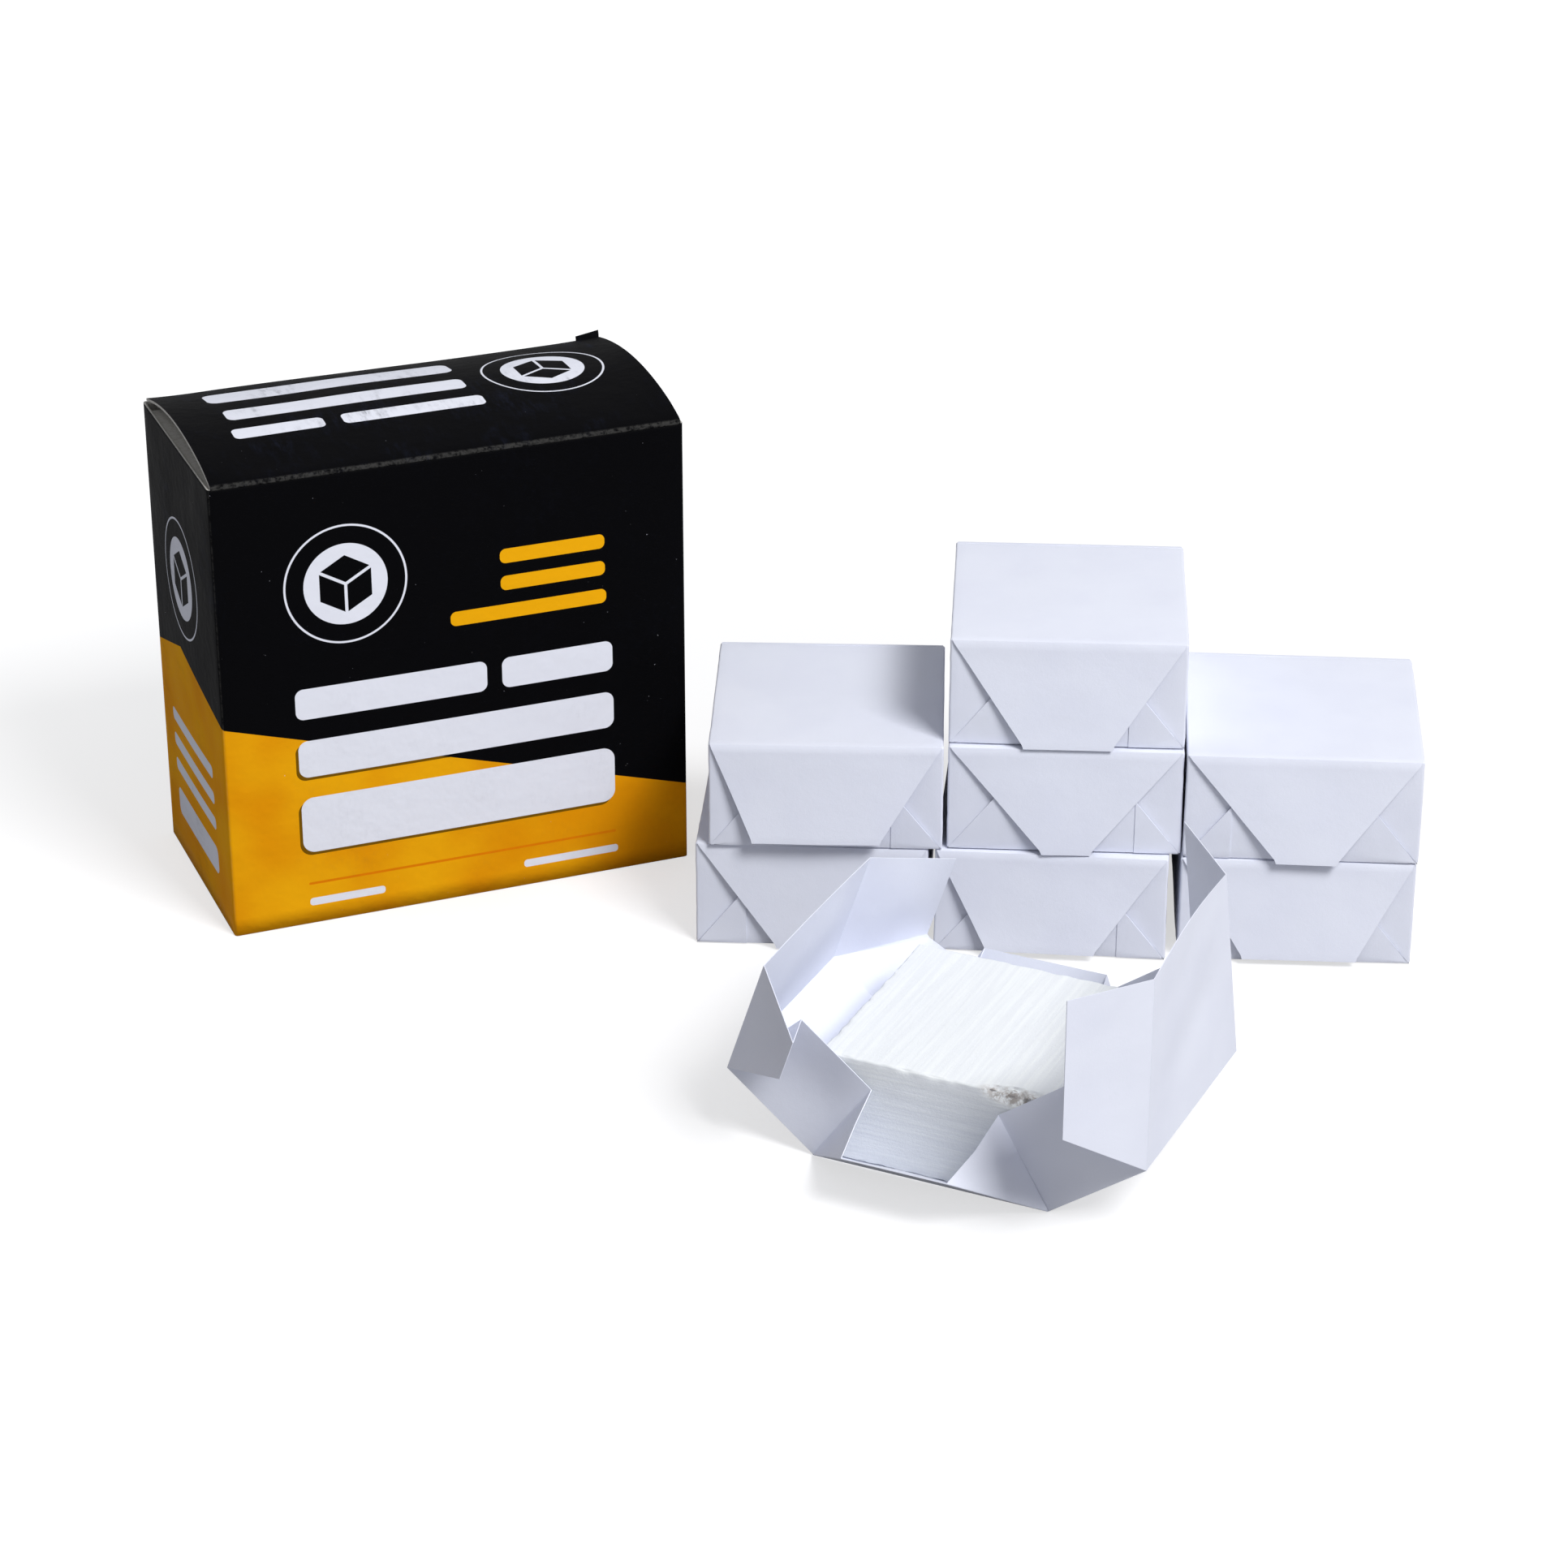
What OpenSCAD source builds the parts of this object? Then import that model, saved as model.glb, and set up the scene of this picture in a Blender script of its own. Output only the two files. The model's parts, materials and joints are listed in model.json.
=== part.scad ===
// A retail pack of gymnastics chalk: a tuck-top carton, seven blocks still in
// their paper wrappers, stacked three-three-one, and one block lying in its
// unfolded wrapper. Millimetres, +Z up, the origin under the middle of the
// stack's bottom centre block.

/* [Chalk block] */
// Width of a pressed chalk block
chalk_w = 58; // [48:0.5:70]
// Depth of a pressed chalk block
chalk_d = 60; // [50:0.5:72]
// Height of a pressed chalk block
chalk_h = 28; // [22:0.5:34]

/* [Wrapper] */
// Thickness of the wrapping paper with its folds pressed flat
paper_t = 0.4; // [0.2:0.1:0.6]
// Slack between a chalk block and the paper at each side
wrap_slack_w = 0.6; // [0.2:0.1:1.5]
// Folded layers and slack at each end of a wrapped block
wrap_slack_d = 1.1; // [0.5:0.1:2]
// Slack above a wrapped chalk block
wrap_slack_h = 0.2; // [0.1:0.1:1]
// How far the outer end flap stands away at its free edge
flap_stand = 1.2; // [0.6:0.1:2.5]
// Reach of the outer end flap as a share of the wrapped height
flap_reach = 0.95; // [0.7:0.01:0.98]
// Inset of the outer end flap's free corners as a share of the wrapped width
flap_inset = 0.30; // [0.15:0.01:0.42]

/* [Stack] */
// Vertical play between two layers of the stack
layer_gap = 0.05; // [0.05:0.05:0.5]
// Smallest gap between two neighbours in a layer
row_gap = 0.4; // [0.2:0.1:3]

/* [Opened wrapper] */
// How much wider the paper floor is than the opened block
floor_slack_w = 2; // [2:0.5:12]
// How much deeper the paper floor is than the opened block
floor_slack_d = 0.6; // [0.6:0.1:12]
// How much longer each side wall is than the block is high
wall_slack = 0.9; // [0.2:0.1:4]
// How steeply the left wall leans above the table, in degrees
left_wall_rise = 39; // [30:1:60]
// How steeply the right wall leans above the table, in degrees
right_wall_rise = 36; // [30:1:60]
// Length of the left top flap from the top crease
left_flap_len = 31.5; // [24:0.5:40]
// Length of the right top flap from the top crease
right_flap_len = 50; // [40:0.5:56]
// Direction of the left top flap above the table, in degrees
left_flap_rise = 108; // [95:1:120]
// Direction of the right top flap above the table, in degrees
right_flap_rise = 90; // [85:1:110]
// How far the paper reaches past the ends of the block
end_len = 26; // [20:0.5:30]
// Inset of the diagonal creases where they reach the paper's edge
end_inset = 17.5; // [12:0.5:22]
// How far the left top flap's front wing is folded in, in degrees
left_front_fold = 45; // [20:1:60]
// How far the left top flap's rear wing is folded in, in degrees
left_rear_fold = 45; // [20:1:60]
// How far the right top flap's front wing is folded in, in degrees
right_front_fold = 25; // [20:1:60]
// How far the right top flap's rear wing is folded in, in degrees
right_rear_fold = 45; // [20:1:60]
// Rise of the front end flap above the table, in degrees
front_flap_rise = 30; // [20:1:45]
// Rise of the rear end flap above the table, in degrees
rear_flap_rise = 70; // [50:1:75]
// Gap that stands for a crease between two hinged panels of paper
crease_gap = 0.3; // [0.3:0.05:0.6]

/* [Carton] */
// Play across the carton with two columns of wrapped blocks in it
carton_slack_w = 4.8; // [1:0.1:10]
// Play from front to rear with a wrapped block in the carton
carton_slack_d = 1.8; // [0.5:0.1:8]
// Room above four layers of wrapped blocks, up to the top of the walls
carton_headroom = 9.5; // [6:0.5:20]
// Thickness of the carton board
board_t = 0.6; // [0.4:0.1:1]
// How far the lid bulges up in the middle of its depth
lid_bulge = 4.5; // [1:0.5:8]
// Length of the flap that tucks the lid in behind the rear wall
tuck_len = 18; // [12:1:24]
// How far the tuck flap leans in from the vertical, in degrees
tuck_lean = 8; // [8:1:14]
// Reach of the top dust flaps across the carton
dust_reach = 30; // [20:1:45]
// Space kept for the tuck flap behind the top dust flaps
dust_rear_gap = 5.4; // [4:0.1:9]
// Reach of the bottom dust flaps across the carton
bottom_dust_reach = 38; // [20:1:50]
// Width of the glue tab down the rear left corner
glue_tab_w = 12; // [8:1:18]
// Gap that stands for a crease between two hinged panels of board
board_gap = 0.3; // [0.3:0.05:0.5]

/* [Layout] */
// Gap between the carton and the stack
carton_gap = 6.362; // [2:0.001:40]
// Free table between the stack and the opened wrapper's end wings laid flat
open_gap = 29.7; // [10:0.1:60]

/* [Hidden] */

paper = [0.89, 0.91, 0.96];
chalk = [0.96, 0.97, 0.98];
board_black = [0.05, 0.05, 0.06];
board_gold = [0.93, 0.65, 0.10];
board_raw = [0.78, 0.77, 0.74];

// A wrapped block's outer size
block_w = chalk_w + 2 * (paper_t + wrap_slack_w);
block_d = chalk_d + 2 * (paper_t + wrap_slack_d);
block_h = chalk_h + 2 * paper_t + wrap_slack_h;

// A block turned by a degrees reaches this much further sideways than half its width
function lean(a) = block_d / 2 * sin(abs(a)) - block_w / 2 * (1 - cos(a));
// Distance between the middles of two neighbours turned by a and b degrees
function pitch(a, b) = block_w + row_gap + lean(a) + lean(b);

// Turn of each block, in degrees, and how far each sits behind the stack's middle
turn_bl = -0.1;
turn_bc = -1.9;
turn_br = 0.5;
turn_ml = 1.5;
turn_mc = 0.3;
turn_mr = -0.6;
turn_t = 0.3;
middle_x = 1.7;
// How far the left column stands off its neighbour, in the two full layers
bottom_left_off = 1.2;
middle_left_off = 0.3;

// Column, depth, turn and layer of each block
AT_BL = [-pitch(turn_bl, turn_bc) - bottom_left_off, 1.0, turn_bl, 0];
AT_BC = [0, 0, turn_bc, 0];
AT_BR = [pitch(turn_bc, turn_br), 0.5, turn_br, 0];
AT_ML = [middle_x - pitch(turn_ml, turn_mc) - middle_left_off, 0.3, turn_ml, 1];
AT_MC = [middle_x, 2.0, turn_mc, 1];
AT_MR = [middle_x + pitch(turn_mc, turn_mr), 0.6, turn_mr, 1];
AT_T = [middle_x, 3.9, turn_t, 2];

// What has worn off the opened block's depth, and the bite out of its corner
worn_d = 1.2;
crumb_len = 16;
crumb_w = 3;

// The opened wrapper: its floor, its walls and its creases
floor_w = chalk_w + floor_slack_w;
floor_d = chalk_d + floor_slack_d;
wall_len = chalk_h + wall_slack;
floor_crease_x = floor_w / 2 + crease_gap;
end_crease_y = floor_d / 2 + paper_t;
panel_half_d = end_crease_y;

// The carton holds two columns of four wrapped blocks
inner_w = 2 * block_w + carton_slack_w;
inner_d = block_d + carton_slack_d;
carton_w = inner_w + 2 * board_t;
carton_d = inner_d + 2 * board_t;
carton_h = 4 * block_h + carton_headroom;

// Place and turn of the opened block, in front of the stack
open_at = [-16.9, -(block_d / 2 + end_crease_y + end_len + open_gap), 0];
open_turn = -21.4;

// Place and turn of the carton, to the left of the stack
carton_turn = 25.2;
carton_reach = (carton_w * cos(carton_turn) + carton_d * sin(carton_turn)) / 2;
carton_at = [AT_BL[0] - block_w / 2 - carton_gap - carton_reach, 21.4, 0];

bottom_top = 3 * board_t;
dust_z = carton_h - 2 * board_t;
lid_z = carton_h + board_gap;

$fn = 96;

// ---- Shared shapes ----

module in_stack(at)
  translate([at[0], at[1], at[3] * (block_h + layer_gap)])
    rotate([0, 0, at[2]])
      children();

module in_open() translate(open_at) rotate([0, 0, open_turn]) children();

module in_carton() translate(carton_at) rotate([0, 0, carton_turn]) children();

module block_of(w, d, h) translate([-w / 2, -d / 2, 0]) cube([w, d, h]);

// ---- Wrapped blocks ----

module chalk_block(at)
  color(chalk)
    in_stack(at)
      translate([0, 0, paper_t])
        block_of(chalk_w, chalk_d, chalk_h);

// The outer end flap hangs from the top edge and stands off the folds behind it
module end_flap() {
  reach = flap_reach * block_h;
  inset = flap_inset * block_w;
  half = block_w / 2 - paper_t / 2;
  tilt = asin(flap_stand / reach);
  translate([0, paper_t - block_d / 2, block_h - paper_t / 2])
    rotate([90 - tilt, 0, 0])
      linear_extrude(paper_t)
        polygon([[-half, 0], [half, 0], [half - inset, -reach], [inset - half, -reach]]);
}

module wrapper(at)
  color(paper)
    in_stack(at) {
      difference() {
        block_of(block_w, block_d, block_h);
        translate([0, 0, paper_t])
          block_of(block_w - 2 * paper_t, block_d - 2 * paper_t, block_h - 2 * paper_t);
      }
      end_flap();
      rotate([0, 0, 180]) end_flap();
    }

// ---- Opened wrapper ----

module open_chalk()
  color(chalk)
    in_open()
      translate([0, 0, paper_t + layer_gap])
        difference() {
          block_of(chalk_w, chalk_d - worn_d, chalk_h);
          // Crumbled corner at the front right
          translate([chalk_w / 2, -chalk_d / 2, chalk_h])
            rotate([45, 0, 30])
              cube([crumb_len, crumb_w, crumb_w], center = true);
        }

module open_floor() color(paper) in_open() block_of(floor_w, floor_d, paper_t);

// A panel of paper along its crease, from the crease outwards along +X
module crease_panel(len)
  translate([crease_gap, -panel_half_d, -paper_t / 2])
    cube([len - crease_gap, 2 * panel_half_d, paper_t]);

// The wall's own end wings stay folded across the ends of the block
module wall_wing()
  rotate([90, 0, 0])
    linear_extrude(paper_t)
      polygon([[crease_gap, 0], [wall_len - 0.8, 0], [wall_len - 3, end_len], [2, end_len]]);

module side_wall(rise)
  translate([floor_crease_x, 0, paper_t / 2 + 0.05])
    rotate([0, -rise, 0]) {
      crease_panel(wall_len - crease_gap);
      translate([0, paper_t - panel_half_d, 0]) wall_wing();
      translate([0, panel_half_d, 0]) wall_wing();
    }

// A top flap's end wing, folded in from the flap's own plane by fold degrees
module flap_wing(len) {
  lap = paper_t / 4;
  linear_extrude(paper_t, center = true)
    polygon([
      [crease_gap + lap, -lap], [len - lap, -lap], [len - lap, end_len], [end_inset, end_len]
    ]);
}

module top_flap(wall_rise, rise, len, front_fold, rear_fold)
  translate([
    floor_crease_x + wall_len * cos(wall_rise), 0,
    paper_t / 2 + 0.05 + wall_len * sin(wall_rise)
  ])
    rotate([0, -rise, 0]) {
      crease_panel(len);
      translate([0, panel_half_d, 0]) rotate([rear_fold, 0, 0]) flap_wing(len);
      mirror([0, 1, 0])
        translate([0, panel_half_d, 0]) rotate([front_fold, 0, 0]) flap_wing(len);
    }

module open_right_wall() color(paper) in_open() side_wall(right_wall_rise);
module open_left_wall() color(paper) in_open() mirror([1, 0, 0]) side_wall(left_wall_rise);

module open_right_flap()
  color(paper)
    in_open()
      top_flap(right_wall_rise, right_flap_rise, right_flap_len, right_front_fold, right_rear_fold);

module open_left_flap()
  color(paper)
    in_open()
      mirror([1, 0, 0])
        top_flap(left_wall_rise, left_flap_rise, left_flap_len, left_front_fold, left_rear_fold);

// The floor's own end flap, a trapezoid hinged just past the wings
module floor_flap(rise)
  translate([0, -end_crease_y - crease_gap - paper_t, paper_t / 2 + 0.05])
    rotate([-rise, 0, 0])
      translate([0, -crease_gap, 0])
        linear_extrude(paper_t, center = true)
          polygon([
            [-floor_w / 2, 0], [floor_w / 2, 0],
            [floor_w / 2 - end_inset, -end_len], [end_inset - floor_w / 2, -end_len]
          ]);

module open_front_flap() color(paper) in_open() floor_flap(front_flap_rise);
module open_rear_flap() color(paper) in_open() mirror([0, 1, 0]) floor_flap(rear_flap_rise);

// ---- Carton ----

module carton_front_panel()
  color(board_black)
    in_carton()
      translate([-carton_w / 2, -carton_d / 2, 0])
        cube([carton_w, board_t, carton_h]);

module carton_rear_panel()
  color(board_gold)
    in_carton()
      translate([-carton_w / 2, carton_d / 2 - board_t, 0])
        cube([carton_w, board_t, carton_h]);

module side_panel(x)
  translate([x, -inner_d / 2, 0])
    cube([board_t, inner_d, carton_h]);

module carton_left_panel() color(board_gold) in_carton() side_panel(-carton_w / 2);
module carton_right_panel() color(board_gold) in_carton() side_panel(carton_w / 2 - board_t);

module carton_glue_tab()
  color(board_raw)
    in_carton()
      translate([-inner_w / 2, inner_d / 2 - board_t, bottom_top])
        cube([glue_tab_w, board_t, dust_z - tuck_len - bottom_top - 4]);

module carton_bottom_outer_flap()
  color(board_black) in_carton() block_of(inner_w, inner_d, board_t);

module carton_bottom_inner_flap()
  color(board_raw) in_carton() translate([0, 0, board_t]) block_of(inner_w, inner_d, board_t);

module bottom_dust_flap(x)
  translate([x, -inner_d / 2, 2 * board_t])
    cube([bottom_dust_reach, inner_d, board_t]);

module carton_bottom_left_dust_flap()
  color(board_raw) in_carton() bottom_dust_flap(-inner_w / 2);

module carton_bottom_right_dust_flap()
  color(board_raw) in_carton() bottom_dust_flap(inner_w / 2 - bottom_dust_reach);

// The lid is a shallow arch over the carton's depth, hinged along its front edge
lid_front = -carton_d / 2 + 0.1;
lid_rear = inner_d / 2 - board_gap;
lid_half = (lid_rear - lid_front) / 2;
lid_r = (pow(lid_half, 2) + pow(lid_bulge, 2)) / (2 * lid_bulge);

module lid_profile()
  intersection() {
    translate([(lid_front + lid_rear) / 2, lid_bulge - lid_r])
      difference() {
        circle(lid_r + board_t, $fn = 360);
        circle(lid_r, $fn = 360);
      }
    translate([lid_front, 0]) square([2 * lid_half, lid_bulge + 2 * board_t]);
  }

module carton_lid()
  color(board_black)
    in_carton()
      translate([-inner_w / 2, 0, lid_z])
        rotate([90, 0, 90])
          linear_extrude(inner_w)
            lid_profile();

tuck_pivot_y = lid_rear - board_t / 2;
tuck_pivot_z = lid_z - 0.1;

module carton_tuck_flap()
  color(board_raw)
    in_carton()
      translate([0, tuck_pivot_y, tuck_pivot_z])
        rotate([-tuck_lean, 0, 0])
          translate([-inner_w / 2 + 1, -board_t / 2, -tuck_len])
            cube([inner_w - 2, board_t, tuck_len - 0.5]);

module dust_flap(x)
  translate([x, board_gap - inner_d / 2, dust_z])
    cube([dust_reach, inner_d - dust_rear_gap - board_gap, board_t]);

module carton_left_dust_flap()
  color(board_raw) in_carton() dust_flap(-inner_w / 2 + board_gap);

module carton_right_dust_flap()
  color(board_raw) in_carton() dust_flap(inner_w / 2 - board_gap - dust_reach);

carton_front_panel();
carton_rear_panel();
carton_left_panel();
carton_right_panel();
carton_glue_tab();
carton_bottom_outer_flap();
carton_bottom_inner_flap();
carton_bottom_left_dust_flap();
carton_bottom_right_dust_flap();
carton_lid();
carton_tuck_flap();
carton_left_dust_flap();
carton_right_dust_flap();
wrapper(AT_BL);  // wrapper_bottom_left
wrapper(AT_BC);  // wrapper_bottom_centre
wrapper(AT_BR);  // wrapper_bottom_right
wrapper(AT_ML);  // wrapper_middle_left
wrapper(AT_MC);  // wrapper_middle_centre
wrapper(AT_MR);  // wrapper_middle_right
wrapper(AT_T);  // wrapper_top
chalk_block(AT_BL);  // chalk_bottom_left
chalk_block(AT_BC);  // chalk_bottom_centre
chalk_block(AT_BR);  // chalk_bottom_right
chalk_block(AT_ML);  // chalk_middle_left
chalk_block(AT_MC);  // chalk_middle_centre
chalk_block(AT_MR);  // chalk_middle_right
chalk_block(AT_T);  // chalk_top
open_chalk();
open_floor();
open_left_wall();
open_right_wall();
open_left_flap();
open_right_flap();
open_front_flap();
open_rear_flap();
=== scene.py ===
"""The looks of a gymnastics chalk pack: a printed carton, seven wrapped blocks and one opened block."""
import json
import math

import bmesh
import bpy
import numpy as np
from mathutils import Matrix, Vector, noise


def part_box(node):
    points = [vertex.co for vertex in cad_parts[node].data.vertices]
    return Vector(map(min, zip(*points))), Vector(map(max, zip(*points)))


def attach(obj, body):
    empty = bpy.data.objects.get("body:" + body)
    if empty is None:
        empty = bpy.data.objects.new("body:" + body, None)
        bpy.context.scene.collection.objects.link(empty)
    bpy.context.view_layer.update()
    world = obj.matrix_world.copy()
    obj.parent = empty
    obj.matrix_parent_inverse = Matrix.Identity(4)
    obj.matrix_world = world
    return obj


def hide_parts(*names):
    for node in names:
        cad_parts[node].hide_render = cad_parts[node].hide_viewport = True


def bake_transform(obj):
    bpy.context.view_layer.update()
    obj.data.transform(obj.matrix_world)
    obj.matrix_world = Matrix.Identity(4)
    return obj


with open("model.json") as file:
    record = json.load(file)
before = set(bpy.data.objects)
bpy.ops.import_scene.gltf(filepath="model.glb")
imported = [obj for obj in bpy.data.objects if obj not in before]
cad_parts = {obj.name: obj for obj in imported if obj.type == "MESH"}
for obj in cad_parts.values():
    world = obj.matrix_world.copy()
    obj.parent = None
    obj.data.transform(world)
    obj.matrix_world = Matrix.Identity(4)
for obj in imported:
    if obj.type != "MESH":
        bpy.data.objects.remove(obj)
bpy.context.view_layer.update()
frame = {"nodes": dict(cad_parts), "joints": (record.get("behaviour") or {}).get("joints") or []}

MM = 0.001


# ---------------------------------------------------------------- frames taken from the CAD nodes

def box_frame(node):
    """The matrix that leads from a box-shaped node's own frame, in mm from the middle of its underside,
    and the node's size in mm."""
    co = np.array([v.co for v in frame["nodes"][node].data.vertices])
    low = np.unique(np.round(co[co[:, 2] < co[:, 2].min() + 1e-5][:, :2], 6), axis=0)
    middle = (low.min(0) + low.max(0)) / 2
    first = low[np.argmax(np.linalg.norm(low - middle, axis=1))]
    sides = sorted((p - first for p in low), key=np.linalg.norm)[1:3]
    along = max(sides, key=lambda e: abs(e[0]) / np.linalg.norm(e))
    across = min(sides, key=lambda e: abs(e[0]) / np.linalg.norm(e))
    turn = math.atan2(along[1], along[0])
    turn = (turn + math.pi / 2) % math.pi - math.pi / 2
    matrix = Matrix.Translation((*middle, co[:, 2].min())) @ Matrix.Rotation(turn, 4, "Z")
    size = np.array([np.linalg.norm(along), np.linalg.norm(across), np.ptp(co[:, 2])]) / MM
    return matrix @ Matrix.Scale(MM, 4), size


def joint_place(name, matrix):
    """Where a joint's axis stands, in mm, in the frame that matrix leads from."""
    joint = next(j for j in frame["joints"] if j["name"] == name)
    return matrix.inverted() @ Vector(joint["pos_m"])


# ---------------------------------------------------------------- meshes

class Build:
    """Collects faces in local millimetres and makes one object of them."""

    def __init__(self):
        self.points, self.faces, self.slots = [], [], []

    def add(self, points, faces, slot=0):
        start = len(self.points)
        self.points += [tuple(p) for p in points]
        self.faces += [tuple(start + i for i in f) for f in faces]
        self.slots += [slot] * len(faces)

    def grid(self, g, slot=0):
        """One side only of a grid of points, shaped (rows, columns, 3)."""
        rows, cols = g.shape[:2]
        self.add(g.reshape(-1, 3), grid_faces(rows, cols), slot)

    def sheet(self, g, thick, slot=0):
        """A grid of points as a closed sheet of paper, thick mm thick about the grid."""
        rows, cols = g.shape[:2]
        n = grid_normals(g)
        count = rows * cols
        top, low = g + n * thick / 2, g - n * thick / 2
        front = grid_faces(rows, cols)
        back = [tuple(count + i for i in reversed(f)) for f in front]
        rim = [r * cols for r in range(rows)]
        rim += [(rows - 1) * cols + c for c in range(1, cols)]
        rim += [r * cols + cols - 1 for r in range(rows - 2, -1, -1)]
        rim += list(range(cols - 2, 0, -1))
        edge = [(a, b, count + b, count + a) for a, b in zip(rim, rim[1:] + rim[:1])]
        self.add(np.concatenate([top.reshape(-1, 3), low.reshape(-1, 3)]), front + back + edge, slot)

    def make(self, name, matrix, materials, body, sharp=40):
        mesh = bpy.data.meshes.new(name)
        points = np.array(self.points)
        world = np.array(matrix)
        mesh.from_pydata((points @ world[:3, :3].T + world[:3, 3]).tolist(), [], self.faces)
        for m in materials:
            mesh.materials.append(m)
        mesh.polygons.foreach_set("material_index", self.slots)
        mesh.polygons.foreach_set("use_smooth", [True] * len(self.faces))
        mesh.update()
        mesh.set_sharp_from_angle(angle=math.radians(sharp))
        obj = bpy.data.objects.new(name, mesh)
        bpy.context.collection.objects.link(obj)
        if body:
            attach(obj, body)
        return obj


def grid_faces(rows, cols):
    return [
        (r * cols + c, (r + 1) * cols + c, (r + 1) * cols + c + 1, r * cols + c + 1)
        for r in range(rows - 1) for c in range(cols - 1)
    ]


def grid_normals(g):
    """Unit normals of a grid of points; a collapsed side takes its neighbour's."""
    du = np.gradient(g, axis=0)
    dv = np.gradient(g, axis=1)
    n = np.cross(du, dv)
    size = np.linalg.norm(n, axis=2, keepdims=True)
    mean = n.reshape(-1, 3).sum(0)
    mean = mean / max(np.linalg.norm(mean), 1e-9)
    return np.where(size > 1e-7, n / np.maximum(size, 1e-7), mean)


def wobble(g, size, scale, seed):
    """Smooth noise at each point of a grid, about -1 to 1."""
    flat = [noise.noise(Vector(p) * scale + Vector((seed, 3.7 * seed, -seed))) for p in g.reshape(-1, 3)]
    return size * np.array(flat).reshape(g.shape[:2])[..., None]


def patch(a, b, c, d, bulge=0.0, wave=0.0, seed=1.0, n=12):
    """A four-cornered piece of paper, swollen in its middle by bulge mm and waved by wave mm."""
    a, b, c, d = (np.array(p, float) for p in (a, b, c, d))
    u = np.linspace(0, 1, n)[:, None, None]
    v = np.linspace(0, 1, n)[None, :, None]
    g = a * (1 - u) * (1 - v) + b * u * (1 - v) + c * u * v + d * (1 - u) * v
    normal = np.cross(b - a + c - d, d - a + c - b)
    normal /= np.linalg.norm(normal)
    window = np.sin(np.pi * u) * np.sin(np.pi * v)
    return g + normal * window * (bulge + wobble(g, wave, 0.06, seed))


def axis_steps(half, radius, step):
    """Places along a rounded box's side, closer together round its corners."""
    inner = half - radius
    flat = np.linspace(-inner, inner, max(3, int(2 * inner / step) + 1))
    turn = radius * np.array([0.3, 0.62, 1.0])
    return np.concatenate([-inner - turn[::-1], flat, inner + turn])


def rounded_box(size, radius, step):
    """Six grids over a box with rounded edges, standing on z = 0."""
    half = np.array(size) / 2
    grids = []
    for axis in range(3):
        others = [i for i in range(3) if i != axis]
        u, v = (axis_steps(half[i], radius, step) for i in others)
        for sign in (-1, 1):
            g = np.zeros((len(u), len(v), 3))
            g[..., others[0]] = u[:, None]
            g[..., others[1]] = v[None, :]
            g[..., axis] = sign * half[axis]
            if (sign < 0) != (axis == 1):
                g = g[:, ::-1]
            core = np.clip(g, radius - half, half - radius)
            out = g - core
            out /= np.linalg.norm(out, axis=2, keepdims=True)
            grids.append(core + out * radius + np.array([0, 0, half[2]]))
    return grids


def weld(obj, distance=1e-6):
    """Joins points that lie in one place, so that each piece is one closed skin."""
    work = bmesh.new()
    work.from_mesh(obj.data)
    bmesh.ops.remove_doubles(work, verts=work.verts, dist=distance)
    bmesh.ops.recalc_face_normals(work, faces=work.faces)
    work.to_mesh(obj.data)
    work.free()


# ---------------------------------------------------------------- materials

def rgb(r, g, b):
    """An sRGB colour from 0 to 255 as linear light."""
    def linear(c):
        c /= 255
        return c / 12.92 if c <= 0.04045 else ((c + 0.055) / 1.055) ** 2.4
    return (linear(r), linear(g), linear(b), 1.0)


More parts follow.
